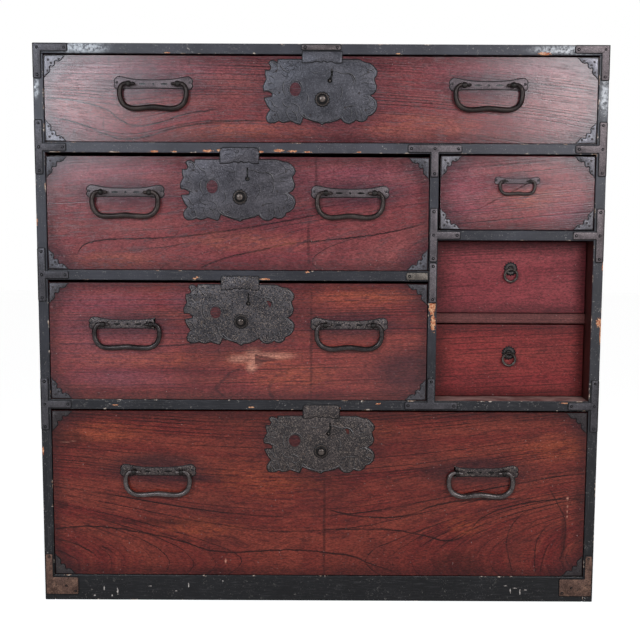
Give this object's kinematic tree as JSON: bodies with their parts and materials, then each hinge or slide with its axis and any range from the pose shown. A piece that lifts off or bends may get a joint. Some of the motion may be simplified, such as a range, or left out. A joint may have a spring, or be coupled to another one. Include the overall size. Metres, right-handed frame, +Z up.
{
  "type": "merchant chest",
  "caption": "Lacquered merchant chest with iron-bound drawers, drop handles, lock plates and an open compartment with inner drawers.",
  "frame": {"origin": "middle of the case's foot, on the floor", "axes": "+Z up, front of the drawers to -Y, +X to the right as seen from the front"},
  "size_m": [0.9, 0.4405, 0.8975],
  "materials": {
    "black_lacquer": "worn satin lacquer",
    "red_zelkova": "rubbed lacquer",
    "inner_red": "matt lacquer",
    "plain_wood": "raw",
    "iron": "patinated",
    "rusty_iron": "rusted"
  },
  "bodies": {
    "case": {"left_side": "black_lacquer", "right_side": "black_lacquer", "top_board": "black_lacquer", "back_boards": "plain_wood", "base_board": "plain_wood", "base_rail": "black_lacquer", "upper_shelf": "black_lacquer", "left_shelf": "black_lacquer", "right_shelf": "black_lacquer", "lower_shelf": "black_lacquer", "centre_divider": "black_lacquer", "inner_shelf": "inner_red", "corner_straps": "iron", "tee_straps": "iron", "keeper_plate": "iron"},
    "top_drawer": {"top_drawer_front": "red_zelkova", "top_drawer_box": "plain_wood", "top_drawer_corners": "iron", "top_handle_mounts": "iron", "top_lock": "iron"},
    "top_bolt": {"top_lock_bolt": "rusty_iron"},
    "top_bail_left": {"top_bail_left": "iron"},
    "top_bail_right": {"top_bail_right": "iron"},
    "upper_drawer": {"upper_drawer_front": "red_zelkova", "upper_drawer_box": "plain_wood", "upper_drawer_corners": "iron", "upper_handle_mounts": "iron", "upper_lock": "iron"},
    "upper_bolt": {"upper_lock_bolt": "rusty_iron"},
    "upper_bail_left": {"upper_bail_left": "iron"},
    "upper_bail_right": {"upper_bail_right": "iron"},
    "lower_drawer": {"lower_drawer_front": "red_zelkova", "lower_drawer_box": "plain_wood", "lower_drawer_corners": "iron", "lower_handle_mounts": "iron", "lower_lock": "iron"},
    "lower_bolt": {"lower_lock_bolt": "rusty_iron"},
    "lower_bail_left": {"lower_bail_left": "iron"},
    "lower_bail_right": {"lower_bail_right": "iron"},
    "bottom_drawer": {"bottom_drawer_front": "red_zelkova", "bottom_drawer_box": "plain_wood", "bottom_drawer_corners": "iron", "bottom_handle_mounts": "iron", "bottom_lock": "iron"},
    "bottom_bolt": {"bottom_lock_bolt": "rusty_iron"},
    "bottom_bail_left": {"bottom_bail_left": "iron"},
    "bottom_bail_right": {"bottom_bail_right": "iron"},
    "small_drawer": {"small_drawer_front": "red_zelkova", "small_drawer_box": "plain_wood", "small_drawer_corners": "iron", "small_handle_mounts": "iron"},
    "small_bail": {"small_bail": "iron"},
    "inner_upper_drawer": {"inner_upper_front": "inner_red", "inner_upper_box": "plain_wood", "inner_upper_rosette": "iron"},
    "inner_upper_ring": {"inner_upper_ring": "iron"},
    "inner_lower_drawer": {"inner_lower_front": "inner_red", "inner_lower_box": "plain_wood", "inner_lower_rosette": "iron"},
    "inner_lower_ring": {"inner_lower_ring": "iron"}
  },
  "joints": [
    {"name": "top_drawer_slide", "type": "slide", "parent": "case", "child": "top_drawer", "axis": [0, -1, 0], "range_m": [0, 0.3]},
    {"name": "top_bolt_lift", "type": "slide", "parent": "top_drawer", "child": "top_bolt", "axis": [0, 0, 1], "range_m": [0, 0.011]},
    {"name": "top_bail_left_swing", "type": "hinge", "parent": "top_drawer", "child": "top_bail_left", "pos_m": [-0.262, -0.2205, 0.835], "axis": [-1, 0, 0], "range_deg": [0, 95]},
    {"name": "top_bail_right_swing", "type": "hinge", "parent": "top_drawer", "child": "top_bail_right", "pos_m": [0.262, -0.2205, 0.835], "axis": [-1, 0, 0], "range_deg": [0, 95]},
    {"name": "upper_drawer_slide", "type": "slide", "parent": "case", "child": "upper_drawer", "axis": [0, -1, 0], "range_m": [0, 0.3]},
    {"name": "upper_bolt_lift", "type": "slide", "parent": "upper_drawer", "child": "upper_bolt", "axis": [0, 0, 1], "range_m": [0, 0.011]},
    {"name": "upper_bail_left_swing", "type": "hinge", "parent": "upper_drawer", "child": "upper_bail_left", "pos_m": [-0.30825, -0.2205, 0.667], "axis": [-1, 0, 0], "range_deg": [0, 95]},
    {"name": "upper_bail_right_swing", "type": "hinge", "parent": "upper_drawer", "child": "upper_bail_right", "pos_m": [0.04675, -0.2205, 0.667], "axis": [-1, 0, 0], "range_deg": [0, 95]},
    {"name": "lower_drawer_slide", "type": "slide", "parent": "case", "child": "lower_drawer", "axis": [0, -1, 0], "range_m": [0, 0.3]},
    {"name": "lower_bolt_lift", "type": "slide", "parent": "lower_drawer", "child": "lower_bolt", "axis": [0, 0, 1], "range_m": [0, 0.011]},
    {"name": "lower_bail_left_swing", "type": "hinge", "parent": "lower_drawer", "child": "lower_bail_left", "pos_m": [-0.30825, -0.2205, 0.4575], "axis": [-1, 0, 0], "range_deg": [0, 95]},
    {"name": "lower_bail_right_swing", "type": "hinge", "parent": "lower_drawer", "child": "lower_bail_right", "pos_m": [0.04675, -0.2205, 0.4575], "axis": [-1, 0, 0], "range_deg": [0, 95]},
    {"name": "bottom_drawer_slide", "type": "slide", "parent": "case", "child": "bottom_drawer", "axis": [0, -1, 0], "range_m": [0, 0.3]},
    {"name": "bottom_bolt_lift", "type": "slide", "parent": "bottom_drawer", "child": "bottom_bolt", "axis": [0, 0, 1], "range_m": [0, 0.011]},
    {"name": "bottom_bail_left_swing", "type": "hinge", "parent": "bottom_drawer", "child": "bottom_bail_left", "pos_m": [-0.262, -0.2205, 0.217], "axis": [-1, 0, 0], "range_deg": [0, 95]},
    {"name": "bottom_bail_right_swing", "type": "hinge", "parent": "bottom_drawer", "child": "bottom_bail_right", "pos_m": [0.262, -0.2205, 0.217], "axis": [-1, 0, 0], "range_deg": [0, 95]},
    {"name": "small_drawer_slide", "type": "slide", "parent": "case", "child": "small_drawer", "axis": [0, -1, 0], "range_m": [0, 0.3]},
    {"name": "small_bail_swing", "type": "hinge", "parent": "small_drawer", "child": "small_bail", "pos_m": [0.31025, -0.21815, 0.687], "axis": [-1, 0, 0], "range_deg": [0, 95]},
    {"name": "inner_upper_drawer_slide", "type": "slide", "parent": "case", "child": "inner_upper_drawer", "axis": [0, -1, 0], "range_m": [0, 0.26]},
    {"name": "inner_upper_ring_swing", "type": "hinge", "parent": "inner_upper_drawer", "child": "inner_upper_ring", "pos_m": [0.31025, -0.1788, 0.546], "axis": [-1, 0, 0], "range_deg": [0, 90]},
    {"name": "inner_lower_drawer_slide", "type": "slide", "parent": "case", "child": "inner_lower_drawer", "axis": [0, -1, 0], "range_m": [0, 0.26]},
    {"name": "inner_lower_ring_swing", "type": "hinge", "parent": "inner_lower_drawer", "child": "inner_lower_ring", "pos_m": [0.31025, -0.1788, 0.408], "axis": [-1, 0, 0], "range_deg": [0, 90]}
  ]
}
